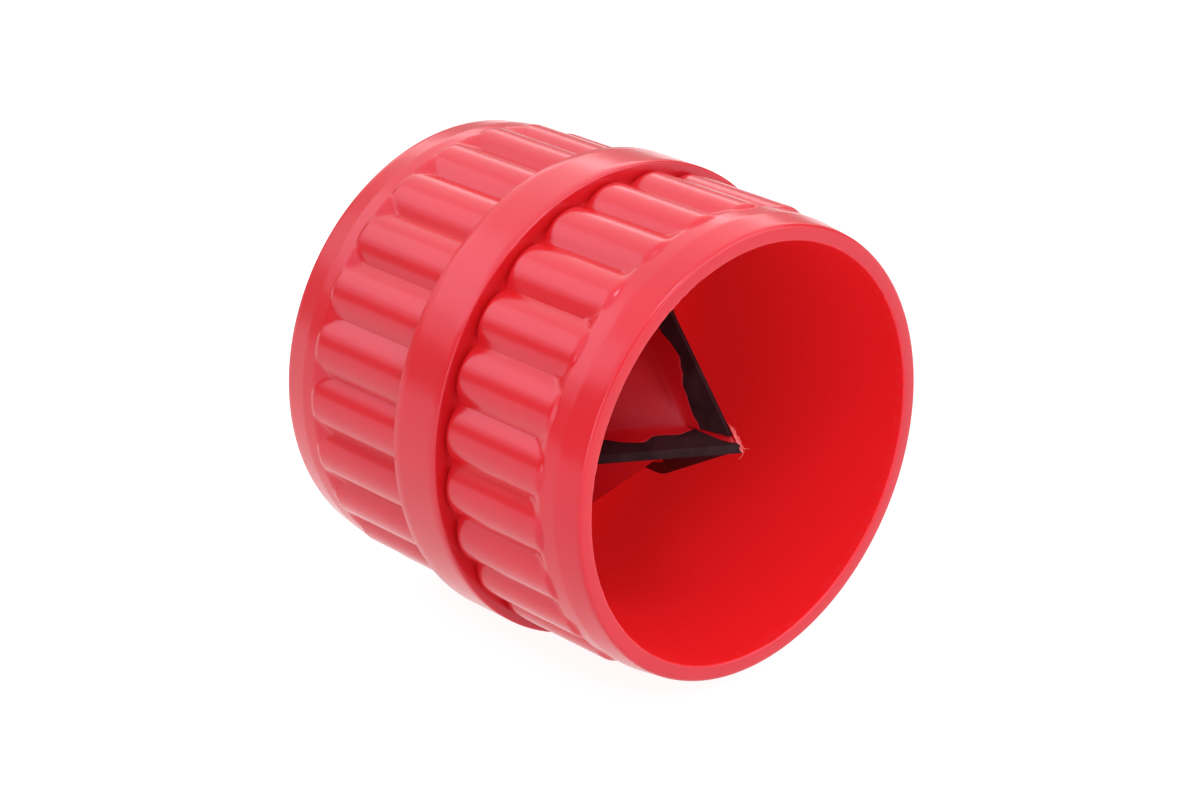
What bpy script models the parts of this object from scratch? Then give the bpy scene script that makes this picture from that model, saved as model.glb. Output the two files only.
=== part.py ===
"""Pipe deburring reamer: a moulded barrel with a cone across its bore, and three steel blades.

Metres, +Z up.  The tool lies on its middle band.  Its axis runs along Y, the mouth that takes
the inside edge of a pipe faces -Y and the funnel that takes the outside edge faces +Y.
"""

import math

import bmesh
import bpy
from mathutils import Matrix, Vector

# Barrel
LENGTH = 0.0474                 # mouth rim to funnel rim
BAND_DIAMETER = 0.0540          # the largest diameter
BAND_WIDTH = 0.0067
BAND_EDGE = 0.00015             # chamfer on the band's two corners
BAND_HEIGHT = 0.0009            # band above the tops of the ribs
RIB_HEIGHT = 0.00042            # tops of the ribs above the plain collars
FLUTE_DEPTH = 0.0012            # tops of the ribs down to the bottoms of the flutes
COLLAR_WIDTH = 0.0057           # plain zone at each end
FLUTE_RUNOUT = 0.0006           # slope at the collar end of each flute
RIM_ZONE = 0.0033               # part of a collar that narrows toward its rim
RIM_NARROWING = 0.00045         # how much it narrows, on the radius
RIM_EDGE = 0.0003               # chamfer on the corners of the rims
WALL = 0.00226                  # collar to bore
FLUTES = 24
FLAT_HALF_ANGLE = math.radians(2.75)    # flats on the ribs, in the flutes and on the band over them

# Cone across the bore
CONE_SETBACK = 0.0088           # mouth rim back to the point of the cone
CONE_THICKNESS = 0.0037         # measured along the axis
FUNNEL_WALL = 0.0069            # straight bore between the funnel and its rim

# Blades
BLADES = 3
FIRST_BLADE_ANGLE = math.radians(74.0)
BLADE_THICKNESS = 0.0010
BLADE_MOUTH_STAND = 0.0064      # blade in front of the cone, measured along the axis
BLADE_FUNNEL_STAND = 0.0059     # blade behind the cone, measured along the axis
BLADE_WALL_GAP = 0.00176        # outer end of a blade to the bore
BLADE_OVERRUN = 0.0001          # how far the long blade passes the axis
BLADE_RELIEF = 0.00025          # the two long edges are ground back by this on one side
SEAT_CLEARANCE = 0.0003         # each blade in its slot, and between blade ends

# Sizes that follow from those above
BAND_RADIUS = BAND_DIAMETER / 2
RIB_RADIUS = BAND_RADIUS - BAND_HEIGHT
COLLAR_RADIUS = RIB_RADIUS - RIB_HEIGHT
RIM_RADIUS = COLLAR_RADIUS - RIM_NARROWING
BORE_RADIUS = COLLAR_RADIUS - WALL
PITCH = 2 * math.pi / FLUTES
FUNNEL_SETBACK = CONE_SETBACK + CONE_THICKNESS
CONE_LENGTH = LENGTH - FUNNEL_WALL - FUNNEL_SETBACK
CONE_SLOPE = CONE_LENGTH / BORE_RADIUS
CONE_HALF_ANGLE = math.atan2(BORE_RADIUS, CONE_LENGTH)
BLADE_REACH = BORE_RADIUS - BLADE_WALL_GAP
SLOT_WIDTH = BLADE_THICKNESS + 2 * SEAT_CLEARANCE
# The two short blades stop where their corners clear the side of the long one.
SHORT_BLADE_START = ((BLADE_THICKNESS / 2 + SEAT_CLEARANCE)
                     + BLADE_THICKNESS / 2 * math.cos(math.pi / 3)) / math.sin(math.pi / 3)
# The tool stands on one of the band's flats.
AXIS_HEIGHT = BAND_RADIUS * math.cos(FLAT_HALF_ANGLE)


def clear_scene():
    for thing in list(bpy.data.objects):
        bpy.data.objects.remove(thing, do_unlink=True)


def make_material(name, colour, roughness, metallic):
    material = bpy.data.materials.new(name)
    material.use_nodes = True
    shader = material.node_tree.nodes["Principled BSDF"]
    shader.inputs["Base Color"].default_value = (*colour, 1.0)
    shader.inputs["Roughness"].default_value = roughness
    shader.inputs["Metallic"].default_value = metallic
    return material


def make_object(name, mesh_data, material):
    """Turn a bmesh into a named object with its faces pointing out."""
    bmesh.ops.recalc_face_normals(mesh_data, faces=mesh_data.faces)
    mesh = bpy.data.meshes.new(name)
    mesh_data.to_mesh(mesh)
    mesh_data.free()
    mesh.materials.append(material)
    thing = bpy.data.objects.new(name, mesh)
    bpy.context.scene.collection.objects.link(thing)
    return thing


def on_tool(depth, radius, angle):
    """A point at a depth behind the mouth rim, a radius and an angle from +X toward +Z."""
    return Vector((radius * math.cos(angle), depth - LENGTH / 2, AXIS_HEIGHT + radius * math.sin(angle)))


def blade_frame(angle):
    """Matrix from a blade's (radius, across, depth) to the tool."""
    out = Vector((math.cos(angle), 0.0, math.sin(angle)))
    across = Vector((-math.sin(angle), 0.0, math.cos(angle)))
    along = Vector((0.0, 1.0, 0.0))
    turn = Matrix((out, across, along)).transposed().to_4x4()
    return Matrix.Translation(on_tool(0.0, 0.0, 0.0)) @ turn


def barrel_columns():
    """Angles round the barrel, each with whether it lies on a rib in front of the band."""
    columns = []
    for flute in range(FLUTES):
        for middle, on_rib in ((flute * PITCH, False), ((flute + 0.5) * PITCH, True)):
            columns.append((middle - FLAT_HALF_ANGLE, on_rib))
            columns.append((middle + FLAT_HALF_ANGLE, on_rib))
    return columns


def half_outline(on_rib):
    """(depth, radius) from the bore at a rim to the middle of the band."""
    groove = RIB_RADIUS if on_rib else RIB_RADIUS - FLUTE_DEPTH
    band_front = (LENGTH - BAND_WIDTH) / 2
    return [
        (RIM_EDGE, BORE_RADIUS),
        (0.0, BORE_RADIUS + RIM_EDGE),
        (0.0, RIM_RADIUS - RIM_EDGE),
        (RIM_EDGE, RIM_RADIUS),
        (RIM_ZONE, COLLAR_RADIUS),
        (COLLAR_WIDTH, COLLAR_RADIUS),
        (COLLAR_WIDTH + FLUTE_RUNOUT, groove),
        (band_front, groove),
        (band_front, BAND_RADIUS - BAND_EDGE),
        (band_front + BAND_EDGE, BAND_RADIUS),
    ]


def barrel_outline(on_rib):
    """(depth, radius) from the foot of the cone, over the mouth rim, to the foot of the funnel.

    Behind the band the ribs stand where the flutes are in front of it.
    """
    front = half_outline(on_rib)
    rear = [(LENGTH - depth, radius) for depth, radius in reversed(half_outline(not on_rib))]
    cone_foot = (CONE_SETBACK + CONE_LENGTH, BORE_RADIUS)
    funnel_foot = (FUNNEL_SETBACK + CONE_LENGTH, BORE_RADIUS)
    return [cone_foot] + front + rear + [funnel_foot]


def cut(thing, cutter):
    """Subtract the cutter and apply the result."""
    cutter.hide_render = True
    cutter.display_type = 'WIRE'
    modifier = thing.modifiers.new("cut", 'BOOLEAN')
    modifier.operation = 'DIFFERENCE'
    modifier.solver = 'EXACT'
    modifier.object = cutter
    bpy.context.view_layer.update()
    result = bpy.data.meshes.new_from_object(thing.evaluated_get(bpy.context.evaluated_depsgraph_get()))
    thing.modifiers.clear()
    thing.data = result
    bpy.data.objects.remove(cutter, do_unlink=True)


def make_slot_cutter(material):
    """A three-armed star through the cone: one slot for each blade, meeting on the axis."""
    half = SLOT_WIDTH / 2
    outer = BLADE_REACH + SEAT_CLEARANCE
    inner = half / math.tan(math.pi / BLADES)
    star = []
    for angle in blade_angles():
        frame = blade_frame(angle)
        star.append(frame @ Vector((outer, -half, 0.0)))
        star.append(frame @ Vector((outer, half, 0.0)))
        star.append(frame @ Vector((inner, half, 0.0)))
    mesh_data = bmesh.new()
    front = [mesh_data.verts.new(point) for point in star]
    rear = [mesh_data.verts.new(point + Vector((0.0, LENGTH, 0.0))) for point in star]
    mesh_data.faces.new(front)
    mesh_data.faces.new(rear[::-1])
    for k in range(len(star)):
        after = (k + 1) % len(star)
        mesh_data.faces.new((front[after], front[k], rear[k], rear[after]))
    return make_object("slot_cutter", mesh_data, material)


def make_body(material):
    """Barrel, band, ribs and the cone across the bore, moulded as one piece."""
    mesh_data = bmesh.new()
    cone_point = mesh_data.verts.new(on_tool(CONE_SETBACK, 0.0, 0.0))
    funnel_point = mesh_data.verts.new(on_tool(FUNNEL_SETBACK, 0.0, 0.0))
    rows = []
    for angle, on_rib in barrel_columns():
        rows.append([mesh_data.verts.new(on_tool(depth, radius, angle))
                     for depth, radius in barrel_outline(on_rib)])
    for here, following in zip(rows, rows[1:] + rows[:1]):
        mesh_data.faces.new((cone_point, here[0], following[0]))
        mesh_data.faces.new((funnel_point, following[-1], here[-1]))
        for k in range(len(here) - 1):
            mesh_data.faces.new((here[k], here[k + 1], following[k + 1], following[k]))
    body = make_object("body", mesh_data, material)
    cut(body, make_slot_cutter(material))
    body.data.shade_smooth()
    body.data.set_sharp_from_angle(angle=math.radians(25.0))
    return body


def blade_angles():
    return [FIRST_BLADE_ANGLE + k * 2 * math.pi / BLADES for k in range(BLADES)]


def blade_outline(start, relief):
    """(radius, depth) corners of a blade's face, its long edges parallel to the cone."""
    grind = relief / math.sin(CONE_HALF_ANGLE)
    mouth_edge = CONE_SETBACK - BLADE_MOUTH_STAND + grind
    funnel_edge = FUNNEL_SETBACK + BLADE_FUNNEL_STAND - grind
    return [
        (start, mouth_edge + start * CONE_SLOPE),
        (BLADE_REACH, mouth_edge + BLADE_REACH * CONE_SLOPE),
        (BLADE_REACH, funnel_edge + BLADE_REACH * CONE_SLOPE),
        (start, funnel_edge + start * CONE_SLOPE),
    ]


def make_blade(name, angle, start, material):
    """A flat steel bar, cut to a parallelogram, sharp along both long edges on one side."""
    mesh_data = bmesh.new()
    half = BLADE_THICKNESS / 2
    sharp_side = [mesh_data.verts.new((radius, half, depth))
                  for radius, depth in blade_outline(start, 0.0)]
    ground_side = [mesh_data.verts.new((radius, -half, depth))
                   for radius, depth in blade_outline(start, BLADE_RELIEF)]
    mesh_data.faces.new(sharp_side)
    mesh_data.faces.new(ground_side[::-1])
    for k in range(4):
        after = (k + 1) % 4
        mesh_data.faces.new((sharp_side[k], ground_side[k], ground_side[after], sharp_side[after]))
    mesh_data.transform(blade_frame(angle))
    return make_object(name, mesh_data, material)


def main():
    clear_scene()
    red_plastic = make_material("red_plastic", (0.60, 0.010, 0.014), 0.32, 0.0)
    make_body(red_plastic)
    starts = [SHORT_BLADE_START, -BLADE_OVERRUN, SHORT_BLADE_START]
    for k, (angle, start) in enumerate(zip(blade_angles(), starts)):
        black_steel = make_material(f"black_steel_{k + 1}", (0.022, 0.020, 0.021), 0.38, 0.9)
        make_blade(f"blade_{k + 1}", angle, start, black_steel)


main()
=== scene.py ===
import math

import bmesh
import bpy
from mathutils import Matrix, Vector, noise


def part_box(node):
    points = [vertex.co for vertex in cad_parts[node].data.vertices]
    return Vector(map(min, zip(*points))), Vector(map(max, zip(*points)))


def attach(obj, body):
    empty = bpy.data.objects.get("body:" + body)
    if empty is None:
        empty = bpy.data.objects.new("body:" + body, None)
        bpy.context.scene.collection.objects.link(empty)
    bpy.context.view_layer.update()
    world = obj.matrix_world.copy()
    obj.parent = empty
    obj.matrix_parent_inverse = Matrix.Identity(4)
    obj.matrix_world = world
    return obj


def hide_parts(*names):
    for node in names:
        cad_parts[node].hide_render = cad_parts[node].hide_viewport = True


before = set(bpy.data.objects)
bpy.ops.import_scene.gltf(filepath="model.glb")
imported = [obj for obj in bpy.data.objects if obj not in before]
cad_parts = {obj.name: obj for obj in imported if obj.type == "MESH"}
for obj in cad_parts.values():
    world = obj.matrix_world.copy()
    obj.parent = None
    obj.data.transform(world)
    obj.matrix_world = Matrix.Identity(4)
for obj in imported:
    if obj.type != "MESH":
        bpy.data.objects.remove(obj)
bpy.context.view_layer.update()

# ---------------------------------------------------------------- sizes, in metres
MM = 0.001

body_low, body_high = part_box("body")
LENGTH = body_high.y - body_low.y
MOUTH_Y = body_low.y
AXIS_HEIGHT = (body_low.z + body_high.z) / 2
FLOOR_HEIGHT = body_low.z

RIBS = 24
COLUMNS_PER_RIB = 18
PITCH = 2 * math.pi / RIBS
FLAT_HALF_ANGLE = math.radians(2.75)    # the CAD's band has flats, twice as wide as this
BAND_RADIUS = (body_high.x - body_low.x) / 2 / math.cos(FLAT_HALF_ANGLE)
RIB_RADIUS = BAND_RADIUS - 0.9 * MM
RIB_DOME = 1.15 * MM            # height of a rib's curve
RIB_CURVE_END = 1.6             # where that curve stops, in domes below the top of the rib
FLUTE_LEVEL = 0.94              # where the floor of a flute lies, in the same measure
COLLAR_RADIUS = RIB_RADIUS - 0.42 * MM
RIM_RADIUS = COLLAR_RADIUS - 0.45 * MM
BORE_RADIUS = COLLAR_RADIUS - 2.26 * MM
BAND_WIDTH = 6.7 * MM
BAND_FRONT = (LENGTH - BAND_WIDTH) / 2
COLLAR_WIDTH = 5.3 * MM
REAR_COLLAR_WIDTH = 4.9 * MM    # the one at the funnel's end
RIM_ZONE = 3.3 * MM
RIM_ROUNDING = 0.35 * MM        # of a rim's outer edge
RIM_INNER_SHARE = 0.7           # rounding of its inner edge, as a share of that
REAR_RIB_DROP = 0.10 * MM       # the ribs behind the band are this much lower
RIB_FULLNESS = 2.1              # 2 is a parabola, more is a squarer rib
RIB_NOSE = 1.35 * MM            # length of the round end of a rib, beside the collar
NOSE_FULLNESS = 2.8             # how blunt that end is
BAND_NOSE = 0.9 * MM            # length over which a rib rounds down beside the band
FLUTE_RUNOUT = 2.4 * MM         # length over which a flute rises to the collar
SEAM_BLEND = 0.13 * MM          # rounding where a rib meets the collar or a flute

CONE_SETBACK = 8.8 * MM
CONE_THICKNESS = 3.7 * MM
FUNNEL_SETBACK = CONE_SETBACK + CONE_THICKNESS
FUNNEL_WALL = 6.9 * MM
CONE_LENGTH = LENGTH - FUNNEL_WALL - FUNNEL_SETBACK
CONE_SLOPE = CONE_LENGTH / BORE_RADIUS
CONE_HALF_ANGLE = math.atan2(BORE_RADIUS, CONE_LENGTH)
CORNER_FILLET = 0.8 * MM        # where the cone meets the bore
CONE_STEPS = 14                 # rings between its point and that fillet

BLADE_ANGLES = [math.radians(74.0 + 120.0 * k) for k in range(3)]
BLADE_HALF = 0.5 * MM           # half its thickness
BLADE_REACH = BORE_RADIUS - 1.76 * MM
BLADE_MOUTH_STAND = 6.4 * MM    # blade in front of the cone, along the axis
BLADE_FUNNEL_STAND = 5.9 * MM   # blade behind the cone, along the axis
BLADE_RELIEF = 0.25 * MM        # ground off one side of the two long edges
BLADE_CORNER = 0.9 * MM         # rounding of the outer corner at the mouth

CAMERA_LENS = 94.56             # focal length in millimetres
CAMERA_PLACE = Vector((-0.2216, -0.2334, 0.1591))
CAMERA_RIGHT = Vector((0.72955, -0.6838, 0.01465))
CAMERA_AHEAD = Vector((0.6360, 0.6704, -0.38216))


def on_tool(depth, radius, angle, across=0.0):
    """A point behind the mouth rim at a radius and angle, moved across that radius."""
    return Vector((radius * math.cos(angle) - across * math.sin(angle),
                   MOUTH_Y + depth,
                   AXIS_HEIGHT + radius * math.sin(angle) + across * math.cos(angle)))


def smooth(low, high, value):
    """0 below low, 1 above high and an S-curve between."""
    share = min(max((value - low) / (high - low), 0.0), 1.0)
    return share * share * (3 - 2 * share)


def make_piece(name, mesh_data, materials, replaces=()):
    """A smooth-shaded object that rides with the tool."""
    bmesh.ops.recalc_face_normals(mesh_data, faces=mesh_data.faces)
    mesh = bpy.data.meshes.new(name)
    mesh_data.to_mesh(mesh)
    mesh_data.free()
    for material in materials:
        mesh.materials.append(material)
    mesh.shade_smooth()
    piece = bpy.data.objects.new(name, mesh)
    bpy.context.scene.collection.objects.link(piece)
    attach(piece, "root")
    if replaces:
        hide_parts(*replaces)
    return piece


# ---------------------------------------------------------------- shader maths
class Value:
    """A socket that arithmetic can be done on: each operator adds its Math node."""

    def __init__(self, finish, socket):
        self.finish = finish
        self.socket = socket

    def maths(self, operation, *terms, **settings):
        return self.finish.node("ShaderNodeMath", {"operation": operation, **settings},
                                dict(enumerate(terms)))

    def __add__(self, other):
        return self.maths('ADD', self, other)

    def __sub__(self, other):
        return self.maths('SUBTRACT', self, other)

    def __rsub__(self, other):
        return self.maths('SUBTRACT', other, self)

    def __mul__(self, other):
        return self.maths('MULTIPLY', self, other)

    def __pow__(self, other):
        return self.maths('POWER', self, other)

    __radd__ = __add__
    __rmul__ = __mul__

    def between(self, low, high):
        """0 where this is below low, 1 where it is above high."""
        return self.finish.node("ShaderNodeMapRange", {"interpolation_type": 'SMOOTHSTEP'},
                                {"Value": self, "From Min": low, "From Max": high})


class Finish:
    """One Principled material, and the nodes that feed it."""

    def __init__(self, name, **shader):
        self.material = bpy.data.materials.new(name)
        self.material.use_nodes = True
        self.nodes = self.material.node_tree.nodes
        self.links = self.material.node_tree.links
        self.shader = self.nodes["Principled BSDF"]
        for socket, setting in shader.items():
            self.feed(self.shader, socket.replace("_", " "), setting)

    def feed(self, node, socket, setting):
        if isinstance(setting, Value):
            self.links.new(setting.socket, node.inputs[socket])
        elif setting is not None:
            node.inputs[socket].default_value = setting

    def node(self, kind, settings=None, sockets=None, output=0):
        made = self.nodes.new(kind)
        for name, setting in (settings or {}).items():
            setattr(made, name, setting)
        for socket, setting in (sockets or {}).items():
            self.feed(made, socket, setting)
        return Value(self, made.outputs[output])

    def place(self):
        """Position on the tool, in metres."""
        return self.node("ShaderNodeTexCoord", output="Object")

    def scaled(self, place, x, y, z):
        return self.node("ShaderNodeVectorMath", {"operation": 'MULTIPLY'},
                         {0: place, 1: (x, y, z)})

    def grain(self, place, scale, detail=2.0, roughness=0.5):
        return self.node("ShaderNodeTexNoise", {},
                         {"Vector": place, "Scale": scale, "Detail": detail, "Roughness": roughness})

    def mixed(self, share, first, second):
        """Between two colours."""
        return self.node("ShaderNodeMix", {"data_type": 'RGBA'},
                         {0: share, 6: first, 7: second}, output=2)

    def bump(self, height, distance, strength=1.0, under=None):
        return self.node("ShaderNodeBump", {},
                         {"Height": height, "Distance": distance, "Strength": strength,
                          "Normal": under})

    def from_axis(self, place):
        """Distance from the tool's axis."""
        across = self.node("ShaderNodeSeparateXYZ", {}, {"Vector": place}, output="X")
        up = self.node("ShaderNodeSeparateXYZ", {}, {"Vector": place}, output="Z") - AXIS_HEIGHT
        return (across * across + up * up) ** 0.5

    def surface(self, **fed):
        for socket, setting in fed.items():
            self.feed(self.shader, socket.replace("_", " "), setting)
        return self.material


# ---------------------------------------------------------------- finishes
def red_plastic(name, shine):
    """Injection-moulded polypropylene: satin gloss, slightly waxy, a little uneven; in the bore,
    painted shade on the cone and a painted glow on the wall.
    """
    finish = Finish(name, IOR=1.5, Specular_IOR_Level=shine, Specular_Tint=(1.0, 0.89, 1.2, 1.0),
                    Emission_Strength=0.24, Subsurface_Weight=0.1, Subsurface_Scale=1.2 * MM,
                    Subsurface_Radius=(1.0, 0.12, 0.08))
    place = finish.place()
    flow = finish.grain(finish.scaled(place, 1.0, 0.35, 1.0), 90.0, 3.0)
    mottle = finish.grain(place, 700.0, 4.0, 0.6)
    colour = finish.mixed(flow.between(0.3, 0.7), (0.49, 0.0055, 0.0085, 1), (0.54, 0.0070, 0.0100, 1))
    tooling = finish.grain(place, 4200.0, 3.0, 0.6)
    sink = finish.grain(place, 260.0, 2.0, 0.45)
    fine = finish.bump(tooling, 0.004 * MM, 0.6)
    broad = finish.bump(sink, 0.12 * MM, 0.35, under=fine)
    reach = finish.from_axis(place)
    inside = 1 - reach.between(BORE_RADIUS - 0.1 * MM, BORE_RADIUS + 0.4 * MM)
    # Painted light in the bore: the cone near the axis gets a darker base colour, a painted shade, and
    # the bore wall around it gets a lighter base colour and a faint emission, a painted glow that
    # stands in for light reaching the wall.
    painted_glow_wall = inside * reach.between(BORE_RADIUS - 8.0 * MM, BORE_RADIUS - 0.1 * MM)
    painted_shade_inside = finish.mixed(painted_glow_wall, (0.36, 0.0045, 0.0075, 1), (0.55, 0.0060, 0.0085, 1))
    return finish.surface(Base_Color=finish.mixed(inside, colour, painted_shade_inside),
                          Emission_Color=finish.mixed(painted_glow_wall, (0, 0, 0, 1), (1.0, 0.018, 0.021, 1)),
                          Roughness=0.13 + mottle * 0.09 + (1 - flow) * 0.04 + inside * 0.27,
                          Normal=broad)


def thin_shaving():
    """The same plastic so thin that light comes through it."""
    finish = Finish("thin_shaving", IOR=1.5, Subsurface_Weight=0.5, Subsurface_Scale=0.6 * MM,
                    Subsurface_Radius=(1.0, 0.45, 0.4))
    cloud = finish.grain(finish.place(), 2200.0, 3.0)
    colour = finish.mixed(cloud, (0.62, 0.025, 0.035, 1), (0.72, 0.13, 0.13, 1))
    return finish.surface(Base_Color=colour,
                          Roughness=0.3 + cloud * 0.15,
                          Normal=finish.bump(cloud, 0.05 * MM, 0.6))


def black_steel():
    """Hardened steel with a black oxide finish, ground along its length."""
    finish = Finish("black_steel", IOR=1.5, Specular_IOR_Level=0.06)
    place = finish.place()
    blotch = finish.grain(place, 350.0, 4.0, 0.6)
    scratch = finish.grain(finish.scaled(place, 1.0, 0.15, 1.0), 2600.0, 3.0, 0.55)
    colour = finish.mixed(blotch.between(0.35, 0.7), (0.017, 0.007, 0.009, 1), (0.030, 0.013, 0.016, 1))
    return finish.surface(Base_Color=colour,
                          Roughness=0.36 + scratch * 0.16 + blotch * 0.08,
                          Normal=finish.bump(scratch, 0.006 * MM, 0.5))


# ---------------------------------------------------------------- barrel and cone
def soft_top(first, second, blend):
    """The larger of two heights, rounded over where they cross."""
    share = max(blend - abs(first - second), 0.0) / blend
    return max(first, second) + share * share * blend / 4


def grip_radius(depth, turn):
    """Radius of the outside away from the band: rim zone, collar, ribs and flutes.

    The ribs behind the band stand half a pitch on from those in front of it.
    """
    inward = min(depth, LENGTH - depth)
    rib_top, collar_width = RIB_RADIUS, COLLAR_WIDTH
    if depth > LENGTH / 2:
        turn += PITCH / 2
        rib_top, collar_width = RIB_RADIUS - REAR_RIB_DROP, REAR_COLLAR_WIDTH
    collar = COLLAR_RADIUS - (COLLAR_RADIUS - RIM_RADIUS) * (1.0 - min(inward / RIM_ZONE, 1.0))
    offset = abs(turn / PITCH - math.floor(turn / PITCH) - 0.5) * 2
    beyond = max(0.0, collar_width + RIB_NOSE * 0.6 - inward) / RIB_NOSE
    by_band = max(0.0, inward - BAND_FRONT + BAND_NOSE) / (1.3 * BAND_NOSE)
    fall = offset ** RIB_FULLNESS + beyond ** NOSE_FULLNESS + by_band ** RIB_FULLNESS
    rib = rib_top - RIB_DOME * min(fall, RIB_CURVE_END)
    flute_depth = collar - rib_top + RIB_DOME * FLUTE_LEVEL
    floor = collar - flute_depth * smooth(0.0, FLUTE_RUNOUT, inward - collar_width)
    return soft_top(rib, floor, SEAM_BLEND)


def outside_rows():
    """(depth, share of the way up to the band) from the mouth rim to the middle."""
    rows = []
    for k in range(1, 5):
        bend = math.pi / 2 * k / 4
        rows.append((RIM_ROUNDING * (1 - math.cos(bend)), 0.0))
    rows += [(depth * MM, 0.0) for depth in (0.8, 1.6, 2.4, 3.0, 3.2, 3.4, 3.8, 4.2)]
    step = 0.13 * MM
    depth = REAR_COLLAR_WIDTH - 3 * step
    while depth < COLLAR_WIDTH + FLUTE_RUNOUT + 0.5 * MM:
        rows.append((depth, 0.0))
        depth += step
    rows += [(depth * MM, 0.0) for depth in (9.0, 11.0, 13.0, 15.0, 17.0, 19.0)]
    rows += [(BAND_FRONT - BAND_NOSE * (1 - k / 7), 0.0) for k in range(7)]
    rows.append((BAND_FRONT, 0.0))
    edge = 0.16 * MM
    for k in range(5):
        bend = math.pi / 2 * k / 4
        rows.append((BAND_FRONT + edge * (1 - math.cos(bend)), 1.0 - 0.16 * (1 - math.sin(bend))))
    rows += [(BAND_FRONT + 1.2 * MM, 1.0), (LENGTH / 2, 1.0)]
    return rows


def rim_round(k, steps):
    """Share of a rim's rounding inward and back, for the k-th of its steps."""
    bend = math.pi / 2 * k / steps
    return math.sin(bend), 1 - math.cos(bend)


def mouth_burr(turn, seed):
    """How far the trimmed inner edge of a rim stands into the bore."""
    along = Vector((math.cos(turn) * 9.0, math.sin(turn) * 9.0, seed))
    patchy = smooth(0.05, 0.45, noise.noise(along * 0.35))
    return (0.03 + 0.12 * patchy) * MM * noise.noise(along * 3.1)


def body_rings(columns):
    """Rings of points from the cone, over the mouth, the outside and the rear rim, to the funnel."""
    turns = [2 * math.pi * k / columns for k in range(columns)]
    rings = []

    def plain_ring(depth, radius):
        rings.append([on_tool(depth, radius, turn) for turn in turns])

    def rim(edge_seed, mirrored):
        steps = 5
        ring_set = []
        for k in range(steps + 1):
            inward, back = rim_round(k, steps)
            ring = []
            for turn in turns:
                burr = mouth_burr(turn, edge_seed)
                radius = BORE_RADIUS + RIM_ROUNDING * (1 - inward) * RIM_INNER_SHARE - burr * inward
                depth = RIM_ROUNDING * back * RIM_INNER_SHARE - burr * (1 - inward) * 0.5
                ring.append(on_tool(LENGTH - depth if mirrored else depth, radius, turn))
            ring_set.append(ring)
        return ring_set

    for k in range(1, CONE_STEPS + 1):
        radius = (BORE_RADIUS - CORNER_FILLET) * (k / CONE_STEPS) ** 1.4
        plain_ring(CONE_SETBACK + radius * CONE_SLOPE, radius)
    foot = CONE_SETBACK + BORE_RADIUS * CONE_SLOPE
    for k in range(1, 6):
        share = k / 5
        plain_ring(foot - CORNER_FILLET * CONE_SLOPE * (1 - share) ** 2 - CORNER_FILLET * share ** 2,
                   BORE_RADIUS - CORNER_FILLET * (1 - share) ** 2)
    for depth in (30.0, 24.0, 18.0, 12.0, 7.0, 3.0, 1.2):
        plain_ring(depth * MM, BORE_RADIUS)
    rings.extend(reversed(rim(3.0, False)))

    half = outside_rows()
    rows = half + [(LENGTH - depth, lift) for depth, lift in reversed(half[:-1])]
    plain_ring(0.0, RIM_RADIUS - RIM_ROUNDING)
    for depth, lift in rows:
        inward = min(depth, LENGTH - depth)
        share = 1 - min(inward / RIM_ROUNDING, 1)
        rounding = RIM_ROUNDING * (1 - math.sqrt(1 - share ** 2))
        ring = []
        for turn in turns:
            base = grip_radius(depth, turn) - rounding
            ring.append(on_tool(depth, base + (BAND_RADIUS - base) * lift, turn))
        rings.append(ring)
    plain_ring(LENGTH, RIM_RADIUS - RIM_ROUNDING)

    rings.extend(rim(11.0, True))
    for depth in (1.2, 3.0, 5.0):
        plain_ring(LENGTH - depth * MM, BORE_RADIUS)
    foot = FUNNEL_SETBACK + BORE_RADIUS * CONE_SLOPE
    for k in range(6):
        share = k / 5
        plain_ring(foot + CORNER_FILLET * (1 - share) ** 2 - CORNER_FILLET * CONE_SLOPE * share ** 2,
                   BORE_RADIUS - CORNER_FILLET * share ** 2)
    for k in range(CONE_STEPS - 1, 0, -1):
        radius = (BORE_RADIUS - CORNER_FILLET) * (k / CONE_STEPS) ** 1.4
        plain_ring(FUNNEL_SETBACK + radius * CONE_SLOPE, radius)
    return rings


def make_moulding(plastic, inner_plastic):
    """Barrel, ribs, band and the cone across the bore."""
    columns = RIBS * COLUMNS_PER_RIB
    mesh_data = bmesh.new()
    rings = [[mesh_data.verts.new(point) for point in ring] for ring in body_rings(columns)]
    cone_point = mesh_data.verts.new(on_tool(CONE_SETBACK, 0.0, 0.0))
    funnel_point = mesh_data.verts.new(on_tool(FUNNEL_SETBACK, 0.0, 0.0))
    for k in range(columns):
        after = (k + 1) % columns
        mesh_data.faces.new((cone_point, rings[0][k], rings[0][after]))
        mesh_data.faces.new((funnel_point, rings[-1][after], rings[-1][k]))
        for ring, following in zip(rings, rings[1:]):
            mesh_data.faces.new((ring[k], following[k], following[after], ring[after]))
    # The bore and the cone have the duller finish.
    for face in mesh_data.faces:
        centre = face.calc_center_median()
        face.material_index = int(math.hypot(centre.x, centre.z - AXIS_HEIGHT) < BORE_RADIUS)
    piece = make_piece("moulded_body", mesh_data, [plastic, inner_plastic],
                       replaces=["body"])
    piece.data.set_sharp_from_angle(angle=math.radians(50.0))
    return piece


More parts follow.
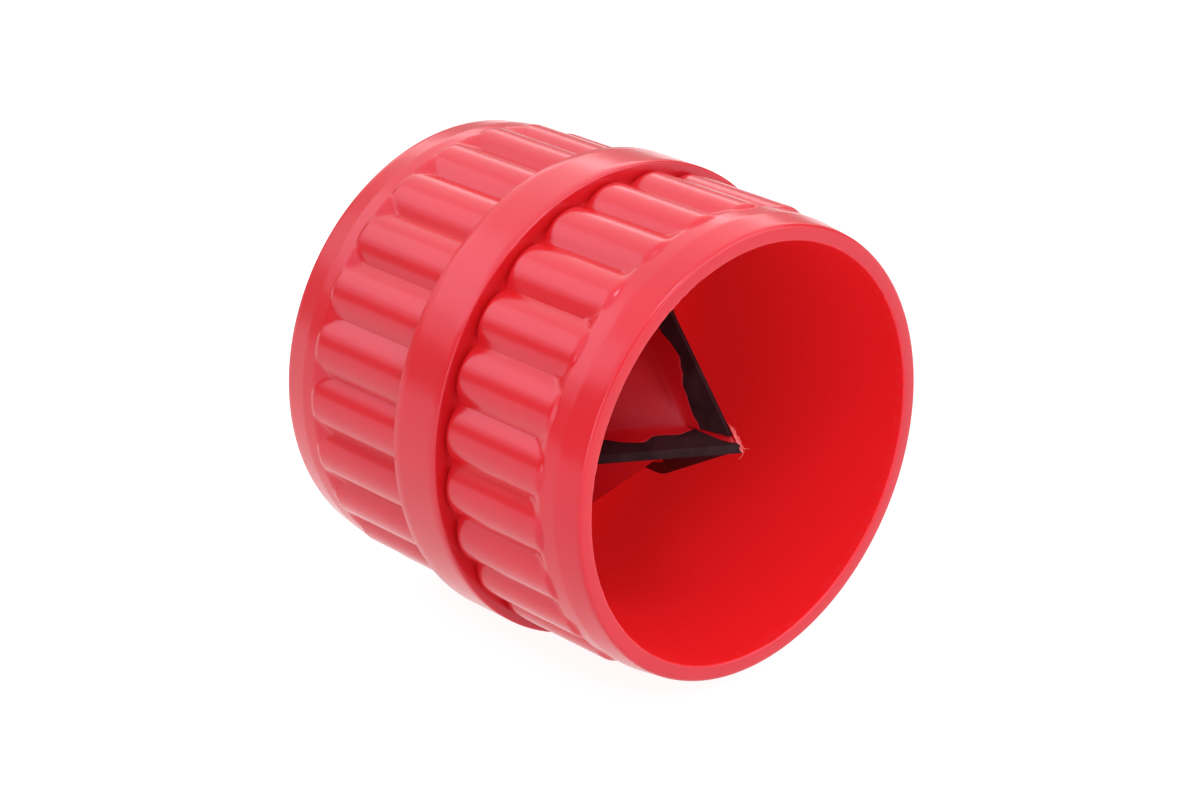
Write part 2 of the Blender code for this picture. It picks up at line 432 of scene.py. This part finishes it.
# ---------------------------------------------------------------- blades
def blade_outline(start_at_edge, start_at_cone, relief):
    """(radius, depth) corners of a blade's face, its outer corner at the mouth rounded off."""
    grind = relief / math.sin(CONE_HALF_ANGLE)
    mouth_edge = CONE_SETBACK - BLADE_MOUTH_STAND + grind
    funnel_edge = FUNNEL_SETBACK + BLADE_FUNNEL_STAND - grind
    return [
        (start_at_edge, mouth_edge + start_at_edge * CONE_SLOPE),
        (BLADE_REACH - BLADE_CORNER, mouth_edge + (BLADE_REACH - BLADE_CORNER) * CONE_SLOPE),
        (BLADE_REACH - BLADE_CORNER * 0.3, mouth_edge + BLADE_REACH * CONE_SLOPE + BLADE_CORNER * 0.1),
        (BLADE_REACH, mouth_edge + BLADE_REACH * CONE_SLOPE + BLADE_CORNER),
        (BLADE_REACH, funnel_edge + BLADE_REACH * CONE_SLOPE),
        (start_at_cone, funnel_edge + start_at_cone * CONE_SLOPE),
        (start_at_cone, CONE_SETBACK + start_at_cone * CONE_SLOPE),
    ]


def make_blade(name, node, angle, start_at_edge, start_at_cone, steel):
    """A flat bar, ground along both long edges on one side, with every edge just broken."""
    mesh_data = bmesh.new()
    sides = []
    for across, relief in ((BLADE_HALF, 0.0), (-BLADE_HALF, BLADE_RELIEF)):
        outline = blade_outline(start_at_edge, start_at_cone, relief)
        sides.append([mesh_data.verts.new(on_tool(depth, radius, angle, across))
                      for radius, depth in outline])
    sharp, ground = sides
    mesh_data.faces.new(sharp)
    mesh_data.faces.new(ground[::-1])
    for k in range(len(sharp)):
        after = (k + 1) % len(sharp)
        mesh_data.faces.new((sharp[k], ground[k], ground[after], sharp[after]))
    bmesh.ops.bevel(mesh_data, geom=list(mesh_data.edges), offset=0.05 * MM, segments=2,
                    affect='EDGES', profile=0.6)
    piece = make_piece(name, mesh_data, [steel], replaces=[node])
    piece.data.set_sharp_from_angle(angle=math.radians(30.0))
    return piece


def wavy_height(seed):
    """Height of a seam where no particular shape is known."""
    def height(radius):
        along = radius / MM
        return (2.2 + 1.7 * noise.noise(Vector((along * 0.28, seed, 0.0)))
                + 0.5 * noise.noise(Vector((along * 0.9, seed, 4.0)))) * MM
    return height


def shaped_height(points):
    """Height of a seam that runs smoothly through (radius, height) points in millimetres."""
    def height(radius):
        along = radius / MM
        ripple = 0.05 * noise.noise(Vector((along * 1.7, points[0][1], 9.0)))
        for (low, first), (high, second) in zip(points, points[1:]):
            if along < high:
                return (first + (second - first) * smooth(low, high, along) + ripple) * MM
        return (points[-1][1] + ripple) * MM
    return height


def make_seam(name, angle, side, height_at, from_mouth, plastic):
    """Plastic that has crept up the side of a blade, with a hollow fillet at its foot."""
    mesh_data = bmesh.new()
    sections = []
    start, end, step = 0.35 * MM, BLADE_REACH + 0.25 * MM, 0.2 * MM
    count = int((end - start) / step)
    for k in range(count + 1):
        radius = start + (end - start) * k / count
        height = max(height_at(radius), 0.35 * MM)
        spread = Vector((radius / MM * 0.4, angle, side * 3.0))
        foot = min((1.6 + 0.4 * noise.noise(spread)) * MM, 0.4 * MM + radius * 0.6)
        profile = [(foot, -0.5 * MM)]
        for share in (1.0, 0.86, 0.72, 0.59, 0.47, 0.36, 0.27, 0.19, 0.12, 0.06, 0.025):
            profile.append((foot * share, height * (1 - share) ** 6 - 0.02 * MM * share))
        profile += [(0.01 * MM, height), (-0.2 * MM, height), (-0.2 * MM, -0.5 * MM)]
        section = []
        for out, up in profile:
            from_axis = math.hypot(radius, BLADE_HALF + out)
            depth = (CONE_SETBACK - up if from_mouth else FUNNEL_SETBACK + up) + from_axis * CONE_SLOPE
            across = side * (BLADE_HALF + out)
            section.append(mesh_data.verts.new(on_tool(depth, radius, angle, across)))
        sections.append(section)
    for here, following in zip(sections, sections[1:]):
        for k in range(len(here)):
            after = (k + 1) % len(here)
            mesh_data.faces.new((here[k], following[k], following[after], here[after]))
    mesh_data.faces.new(sections[0])
    mesh_data.faces.new(sections[-1][::-1])
    return make_piece(name, mesh_data, [plastic])


def make_core(plastic):
    """The thread of plastic between the blades' inner ends, ragged where it stops."""
    mesh_data = bmesh.new()
    levels = []
    front, back = CONE_SETBACK - BLADE_MOUTH_STAND + 0.9 * MM, FUNNEL_SETBACK + 2.0 * MM
    steps = 26
    reaches, half = (1.4 * MM, 0.45 * MM, 1.4 * MM), 0.34 * MM
    for k in range(steps + 1):
        depth = front + (back - front) * k / steps
        shrink = min(1.0, 0.5 + k / 6)
        level = []
        for index, (angle, reach) in enumerate(zip(BLADE_ANGLES, reaches)):
            middle = angle + math.pi / 3
            wobble = 1.0 + 0.08 * noise.noise(Vector((k * 0.6, index * 5.0, 0.0)))
            level.append(on_tool(depth, reach * shrink, angle, -half * shrink))
            level.append(on_tool(depth, reach * shrink, angle, half * shrink))
            level.append(on_tool(depth, 0.50 * MM * wobble * shrink, middle))
        levels.append([mesh_data.verts.new(point) for point in level])
    for here, following in zip(levels, levels[1:]):
        for k in range(len(here)):
            after = (k + 1) % len(here)
            mesh_data.faces.new((here[k], here[after], following[after], following[k]))
    for level, depth in ((levels[0], front - 0.2 * MM), (levels[-1], back)):
        tip = mesh_data.verts.new(on_tool(depth, 0.0, 0.0))
        for k in range(len(level)):
            mesh_data.faces.new((level[k], level[(k + 1) % len(level)], tip))
    return make_piece("core_between_blades", mesh_data, [plastic])


def make_flake(shaving):
    """A ragged curl of thin plastic left along the first blade's edge, at the point."""
    mesh_data = bmesh.new()
    rows, columns, thickness = 22, 6, 0.05 * MM
    sheets = []
    for lift in (0.0, thickness):
        sheet = []
        for i in range(rows + 1):
            along = i / rows
            ragged = 1.0 + 0.45 * noise.noise(Vector((along * 9.0, 2.0, 0.0)))
            ends = min(1.0, 0.25 + 3.0 * along) * min(1.0, 0.3 + 3.5 * (1 - along))
            width = 0.85 * MM * ragged * ends
            radius = (-0.15 + 2.3 * along) * MM
            edge_depth = CONE_SETBACK - BLADE_MOUTH_STAND + radius * CONE_SLOPE
            line = []
            for j in range(columns + 1):
                share = j / columns
                curl = 0.22 * MM * math.sin(share * 2.6 + along * 1.5)
                crumple = 0.07 * MM * noise.noise(Vector((along * 7.0, share * 3.0, 5.0)))
                across = -0.02 * MM - width * share
                line.append(mesh_data.verts.new(on_tool(
                    edge_depth - 0.08 * MM - curl - crumple - lift, radius, BLADE_ANGLES[0], across)))
            sheet.append(line)
        sheets.append(sheet)
    low, high = sheets
    for i in range(rows):
        for j in range(columns):
            mesh_data.faces.new((low[i][j], low[i + 1][j], low[i + 1][j + 1], low[i][j + 1]))
            mesh_data.faces.new((high[i][j], high[i][j + 1], high[i + 1][j + 1], high[i + 1][j]))
        for j in (0, columns):
            mesh_data.faces.new((low[i][j], low[i + 1][j], high[i + 1][j], high[i][j]))
    for j in range(columns):
        for i in (0, rows):
            mesh_data.faces.new((low[i][j], low[i][j + 1], high[i][j + 1], high[i][j]))
    return make_piece("tip_flake", mesh_data, [shaving])


def make_strand(name, points, thickness, shaving):
    """A hair of plastic through a few points, thinner toward its end."""
    mesh_data = bmesh.new()
    sides, steps = 6, 8
    path = []
    for k in range(len(points) - 1):
        before = points[max(k - 1, 0)]
        here, following = points[k], points[k + 1]
        beyond = points[min(k + 2, len(points) - 1)]
        for step in range(steps):
            t = step / steps
            path.append(0.5 * ((2 * here) + (following - before) * t
                               + (2 * before - 5 * here + 4 * following - beyond) * t ** 2
                               + (3 * here - before - 3 * following + beyond) * t ** 3))
    path.append(points[-1])
    rings = []
    for k, point in enumerate(path):
        ahead = (path[min(k + 1, len(path) - 1)] - path[max(k - 1, 0)]).normalized()
        side = ahead.orthogonal().normalized()
        other = ahead.cross(side)
        radius = thickness * (1.0 - 0.65 * k / len(path))
        rings.append([mesh_data.verts.new(point + radius * (math.cos(a) * side + math.sin(a) * other))
                      for a in (2 * math.pi * j / sides for j in range(sides))])
    for here, following in zip(rings, rings[1:]):
        for j in range(sides):
            after = (j + 1) % sides
            mesh_data.faces.new((here[j], here[after], following[after], following[j]))
    mesh_data.faces.new(rings[0])
    mesh_data.faces.new(rings[-1][::-1])
    return make_piece(name, mesh_data, [shaving])


# ---------------------------------------------------------------- studio
def add_softbox(name, direction, distance, width, height, brightness):
    """A rectangular light that faces the tool and looks evenly bright from there."""
    lamp = bpy.data.lights.new(name, 'AREA')
    lamp.shape = 'RECTANGLE'
    lamp.size = width
    lamp.size_y = height
    lamp.energy = 4 * width * height * brightness
    holder = bpy.data.objects.new(name, lamp)
    aim = Vector((0.0, 0.0, AXIS_HEIGHT))
    toward = Vector(direction).normalized()
    holder.location = aim + toward * distance
    holder.rotation_euler = toward.to_track_quat('Z', 'Y').to_euler()
    bpy.context.scene.collection.objects.link(holder)


def make_studio():
    """A pale floor, an even sky and soft lights round the tool."""
    finish = Finish("pale_floor", Roughness=0.8, Emission_Color=(1, 1, 1, 1), Emission_Strength=0.9)
    paper = finish.grain(finish.place(), 900.0, 3.0)
    finish.surface(Base_Color=finish.mixed(paper, (0.20, 0.20, 0.20, 1), (0.23, 0.23, 0.23, 1)))
    bpy.ops.mesh.primitive_plane_add(size=6.0, location=(0, 0, FLOOR_HEIGHT))
    floor = bpy.context.object
    floor.name = "floor"
    floor.data.materials.append(finish.material)

    world = bpy.data.worlds.new("studio")
    bpy.context.scene.world = world
    world.use_nodes = True
    sky = world.node_tree.nodes["Background"]
    sky.inputs["Color"].default_value = (1, 1, 1, 1)
    sky.inputs["Strength"].default_value = 0.5

    add_softbox("overhead", (0.0, 0.05, 1.0), 0.8, 2.4, 2.4, 0.85)
    add_softbox("backdrop", (0.64, 0.67, 0.42), 0.9, 1.3, 0.14, 1.35)
    add_softbox("back_left", (-0.45, 0.70, 0.52), 0.9, 0.7, 0.5, 0.7)
    add_softbox("key", (-0.10, -0.50, 0.86), 0.7, 0.24, 0.13, 7.5)
    add_softbox("left_fill", (-0.80, -0.55, 0.22), 0.7, 0.6, 0.4, 1.4)
    add_softbox("front_fill", (0.50, -0.85, 0.30), 0.8, 0.6, 0.6, 1.6)


def make_camera():
    """Looks at the mouth from the left and above."""
    lens = bpy.data.cameras.new("camera")
    lens.lens = CAMERA_LENS
    lens.sensor_width = 36.0
    camera = bpy.data.objects.new("camera", lens)
    bpy.context.scene.collection.objects.link(camera)
    up = CAMERA_RIGHT.cross(CAMERA_AHEAD)
    turn = Matrix((CAMERA_RIGHT, up, -CAMERA_AHEAD)).transposed().to_4x4()
    camera.matrix_world = Matrix.Translation(CAMERA_PLACE) @ turn
    bpy.context.scene.camera = camera


def main():
    plastic = red_plastic("red_plastic", 0.5)
    inner_plastic = red_plastic("red_plastic_inside", 0.22)
    steel = black_steel()
    shaving = thin_shaving()
    make_moulding(plastic, inner_plastic)
    # Where each blade starts, as a distance from the axis: at its mouth edge, and down at the cone.
    starts = [(1.05 * MM, 0.40 * MM), (-0.25 * MM, -0.25 * MM), (1.12 * MM, 0.42 * MM)]
    for k, angle in enumerate(BLADE_ANGLES):
        make_blade(f"steel_blade_{k + 1}", f"blade_{k + 1}", angle, *starts[k], steel)
    shaped = {
        (0, 1): [(0.0, 1.5), (0.9, 1.8), (1.8, 1.6), (4.1, 2.2), (5.9, 3.5), (7.2, 4.2), (8.1, 3.8),
                 (9.0, 2.95), (12.0, 1.6)],
        (1, -1): [(0.0, 0.6), (0.5, 0.85), (2.0, 1.7), (3.4, 1.5), (5.2, 3.2), (6.2, 2.8), (7.1, 1.5),
                  (9.0, 2.0), (12.0, 1.3)],
    }
    for k, angle in enumerate(BLADE_ANGLES):
        for side, hand in ((1, "left"), (-1, "right")):
            seed = 3.0 * k + side
            height_at = shaped_height(shaped[k, side]) if (k, side) in shaped else wavy_height(seed)
            make_seam(f"seam_{k + 1}_{hand}", angle, side, height_at, True, inner_plastic)
            make_seam(f"funnel_seam_{k + 1}_{hand}", angle, side, wavy_height(seed + 20.0), False,
                      inner_plastic)
    make_core(inner_plastic)
    make_flake(shaving)
    point = on_tool(CONE_SETBACK - BLADE_MOUTH_STAND - 0.1 * MM, 0.0, 0.0)
    make_strand("tip_strand_1", [point, point + Vector((0.5, -0.2, 0.1)) * MM,
                                 point + Vector((1.1, -0.5, -0.1)) * MM], 0.035 * MM, shaving)
    make_strand("tip_strand_2", [point, point + Vector((0.25, -0.3, -0.4)) * MM,
                                 point + Vector((0.05, -0.2, -0.75)) * MM,
                                 point + Vector((-0.2, -0.1, -1.0)) * MM], 0.04 * MM, shaving)
    make_strand("tip_strand_3", [point + Vector((0.1, 0.0, 0.35)) * MM,
                                 point + Vector((0.45, -0.3, 0.1)) * MM,
                                 point + Vector((0.3, -0.3, -0.3)) * MM], 0.03 * MM, shaving)
    make_studio()
    make_camera()
    bpy.context.scene.view_settings.view_transform = 'Standard'


main()
